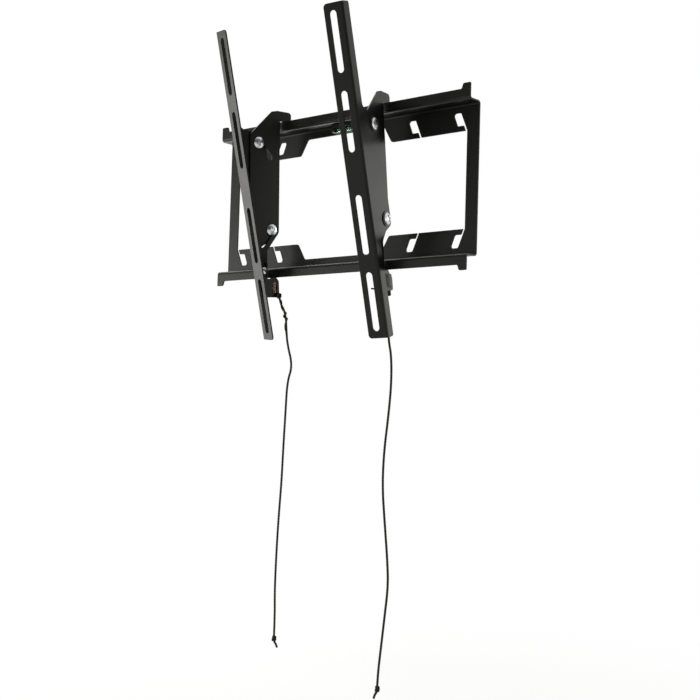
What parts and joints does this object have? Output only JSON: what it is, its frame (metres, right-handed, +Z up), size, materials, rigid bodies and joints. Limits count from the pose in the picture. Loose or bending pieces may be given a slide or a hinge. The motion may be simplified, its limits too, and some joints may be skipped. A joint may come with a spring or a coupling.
{
  "type": "tilting tv wall bracket",
  "caption": "Tilting wall bracket for a flat television: a slotted wall plate with lipped rails, hooked arms that tilt on curved slots, sprung catches and pull cords.",
  "frame": {"origin": "middle of the wall plate's back face, on the wall", "axes": "+X to the right along the wall, +Y into the wall, +Z up"},
  "size_m": [0.449, 0.1366, 0.8821],
  "materials": {
    "black_coat": "semi-gloss black powder coat",
    "dark_steel": "black coated steel",
    "zinc": "bright zinc plate",
    "spring_steel": "bronzed spring wire",
    "black_plastic": "matte black",
    "clear_vial": "clear",
    "green_fluid": "clear green",
    "cord": "woven dark brown"
  },
  "bodies": {
    "plate": {"wall_plate": "black_coat", "level_holder": "black_plastic", "level_vial": "clear_vial", "level_cap": "black_plastic", "level_fluid": "green_fluid"},
    "left_hanger": {"left_hook_plate": "black_coat", "left_latch_screw": "zinc", "left_latch_spring": "spring_steel"},
    "left_tilting_arm": {"left_arm": "black_coat", "left_upper_tilt_screw": "zinc", "left_upper_sleeve_nut": "zinc", "left_upper_outer_washer": "black_plastic", "left_upper_friction_disc": "black_plastic", "left_lower_tilt_screw": "zinc", "left_lower_sleeve_nut": "zinc", "left_lower_outer_washer": "black_plastic", "left_lower_friction_disc": "black_plastic"},
    "left_catch": {"left_latch": "dark_steel", "left_cord_top_knot": "cord", "left_pull_cord": "cord", "left_cord_end_knot": "cord"},
    "right_hanger": {"right_hook_plate": "black_coat", "right_latch_screw": "zinc", "right_latch_spring": "spring_steel"},
    "right_tilting_arm": {"right_arm": "black_coat", "right_upper_tilt_screw": "zinc", "right_upper_sleeve_nut": "zinc", "right_upper_outer_washer": "black_plastic", "right_upper_friction_disc": "black_plastic", "right_lower_tilt_screw": "zinc", "right_lower_sleeve_nut": "zinc", "right_lower_outer_washer": "black_plastic", "right_lower_friction_disc": "black_plastic"},
    "right_catch": {"right_latch": "dark_steel", "right_cord_top_knot": "cord", "right_pull_cord": "cord", "right_cord_end_knot": "cord"}
  },
  "joints": [
    {"name": "left_hanger_slide", "type": "slide", "parent": "plate", "child": "left_hanger", "axis": [1, 0, 0], "range_m": [-0.08, 0.06]},
    {"name": "left_arm_tilt", "type": "hinge", "parent": "left_hanger", "child": "left_tilting_arm", "pos_m": [-0.13722, -0.1108, -0.00574], "axis": [0.956, -0.2814, -0.0825], "range_deg": [-15, 0]},
    {"name": "left_latch_pull", "type": "slide", "parent": "left_hanger", "child": "left_catch", "axis": [-0.0588, 0.0914, -0.9941], "range_m": [0, 0.009], "stiffness_N_per_m": 400, "springref_m": -0.005, "deforming": ["left_latch_spring"]},
    {"name": "right_hanger_slide", "type": "slide", "parent": "plate", "child": "right_hanger", "axis": [1, 0, 0], "range_m": [-0.043, 0.107]},
    {"name": "right_arm_tilt", "type": "hinge", "parent": "right_hanger", "child": "right_tilting_arm", "pos_m": [0.10463, -0.11302, -0.00782], "axis": [0.9844, 0.1718, 0.0377], "range_deg": [-14.4, 0.6]},
    {"name": "right_latch_pull", "type": "slide", "parent": "right_hanger", "child": "right_catch", "axis": [0.0215, 0.095, -0.9952], "range_m": [0, 0.009], "stiffness_N_per_m": 400, "springref_m": -0.005, "deforming": ["right_latch_spring"]}
  ]
}
